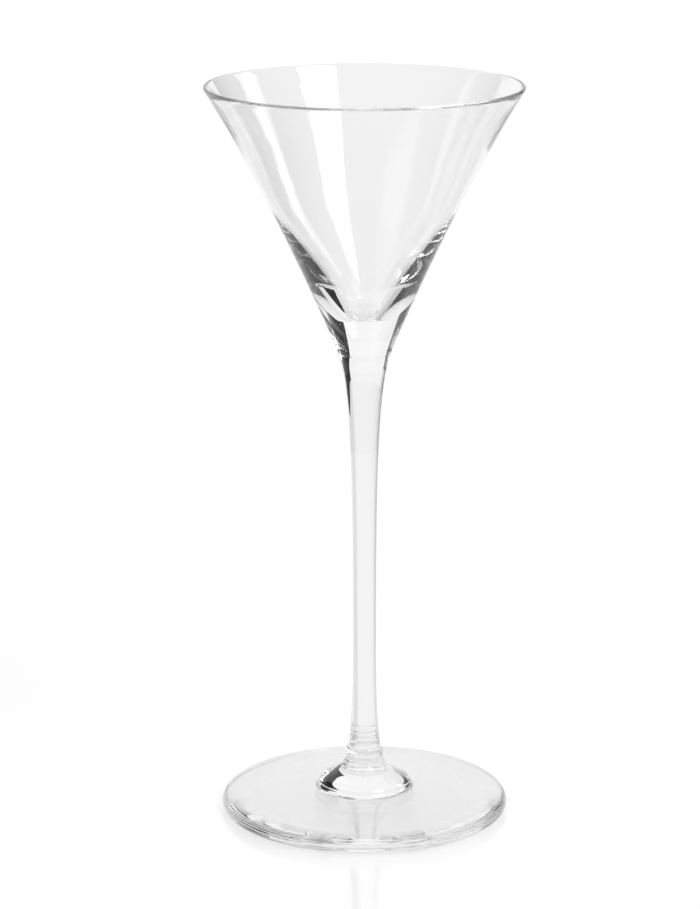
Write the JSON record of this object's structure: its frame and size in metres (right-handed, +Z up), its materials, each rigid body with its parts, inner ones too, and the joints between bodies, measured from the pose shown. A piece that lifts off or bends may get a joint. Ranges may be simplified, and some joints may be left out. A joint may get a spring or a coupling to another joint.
{
  "type": "liqueur glass",
  "caption": "Tall clear liqueur glass with a V-shaped bowl, a slender drawn stem that flares into the bowl, and a flat round foot with a ringed hub.",
  "frame": {"origin": "centre of the foot's underside, on the table", "axes": "+Z up along the glass's own axis, from the foot to the rim; the glass is round, so X and Y are free"},
  "size_m": [0.0754, 0.0754, 0.178],
  "materials": {
    "bowl_glass": "clear blown crystal, fire-polished rim",
    "stem_glass": "clear drawn crystal",
    "foot_glass": "clear spun crystal with faint tool rings"
  },
  "bodies": {
    "root": {"bowl": "bowl_glass", "stem": "stem_glass", "foot": "foot_glass"}
  },
  "joints": []
}
